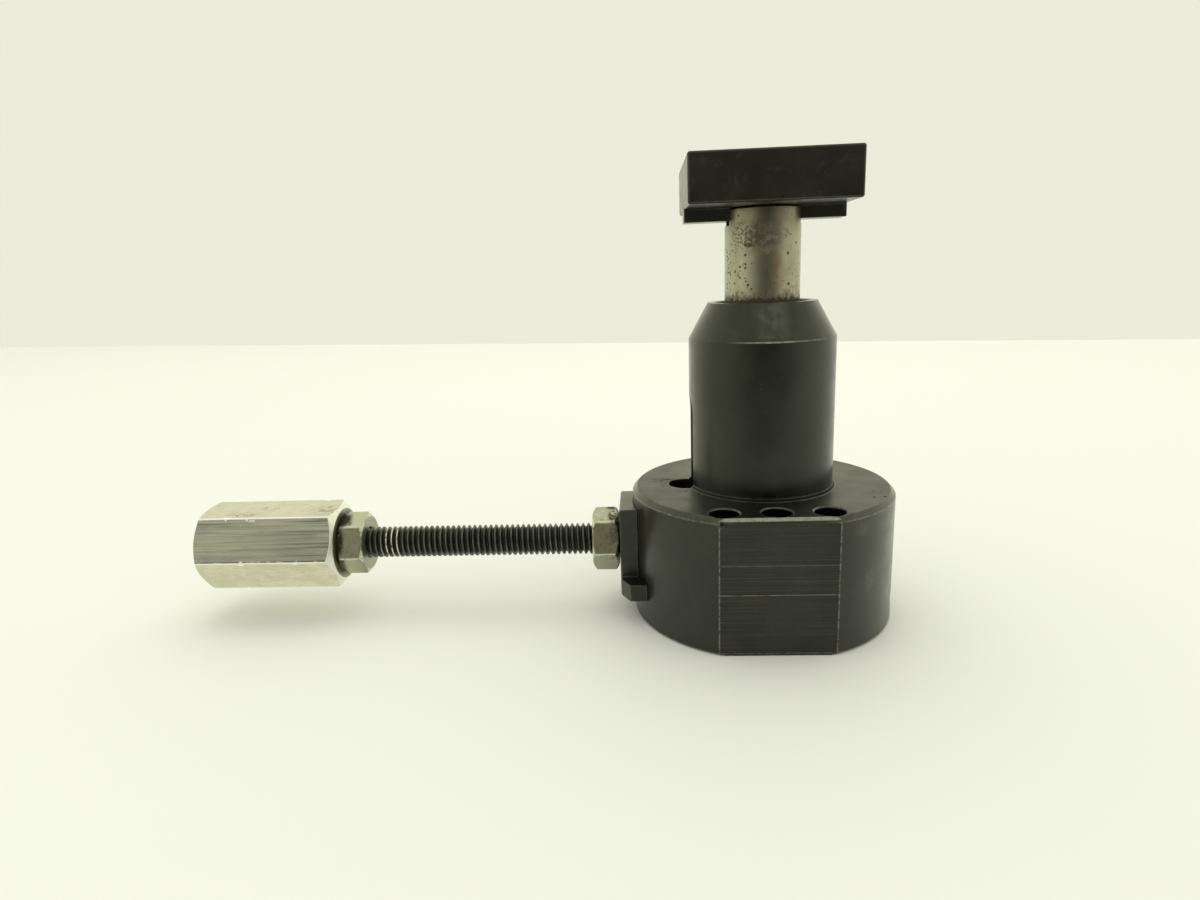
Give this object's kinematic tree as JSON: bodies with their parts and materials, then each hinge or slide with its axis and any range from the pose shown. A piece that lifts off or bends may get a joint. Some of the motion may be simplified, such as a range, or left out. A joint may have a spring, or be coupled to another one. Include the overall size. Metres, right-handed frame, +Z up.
{
  "type": "adjustable work support",
  "caption": "Workholding support with a spring lifted plunger and slotted pad, locked from the side by a threaded rod with a hexagon knob.",
  "frame": {"origin": "on the column's axis, at the underside of the base", "axes": "+Z up along the plunger, the front flat faces -Y, the lock rod leaves the base along -X"},
  "size_m": [0.1749, 0.0607, 0.1081],
  "materials": {
    "black_steel": "black oxide, light oil sheen",
    "pad_steel": "black oxide, ground flat",
    "rod_steel": "black oxide thread, crests worn bright",
    "ground_steel": "ground, pitted and stained",
    "zinc_steel": "dull zinc with dark patches",
    "spring_steel": "drawn wire, oiled",
    "aluminium": "machined, scratched, nicked edges",
    "bronze": "turned bearing bronze",
    "rubber": "matt nitrile"
  },
  "bodies": {
    "housing": {"body": "black_steel", "guide_bush": "bronze", "wiper_ring": "rubber", "base_plug": "black_steel", "plug_seal": "rubber", "plug_set_screw": "black_steel", "shoe_key_screw": "black_steel", "saddle": "black_steel", "return_spring": "spring_steel"},
    "plunger": {"plunger": "ground_steel", "pad": "pad_steel", "pad_screw": "black_steel"},
    "lock_shoe": {"lock_shoe": "bronze", "thrust_disc": "spring_steel", "shoe_ring": "spring_steel"},
    "lock_rod": {"lock_rod": "rod_steel", "clamp_nut": "zinc_steel", "jam_nut": "zinc_steel", "hex_knob": "aluminium"}
  },
  "joints": [
    {"name": "plunger_slide", "type": "slide", "parent": "housing", "child": "plunger", "axis": [0, 0, 1], "range_m": [-0.0064, 0], "stiffness_N_per_m": 700, "springref_m": 0.03, "deforming": ["return_spring"]},
    {"name": "shoe_slide", "type": "slide", "parent": "housing", "child": "lock_shoe", "axis": [-1, 0, 0], "range_m": [-0.0003, 0.00141]},
    {"name": "rod_turn", "type": "hinge", "parent": "lock_shoe", "child": "lock_rod", "pos_m": [-0.09, 0, 0.0179], "axis": [-1, 0, 0], "range_deg": [-76, 360]}
  ],
  "couplings": [
    {"joint": "rod_turn", "follows": "shoe_slide", "rad_per_m": 4452.7}
  ]
}
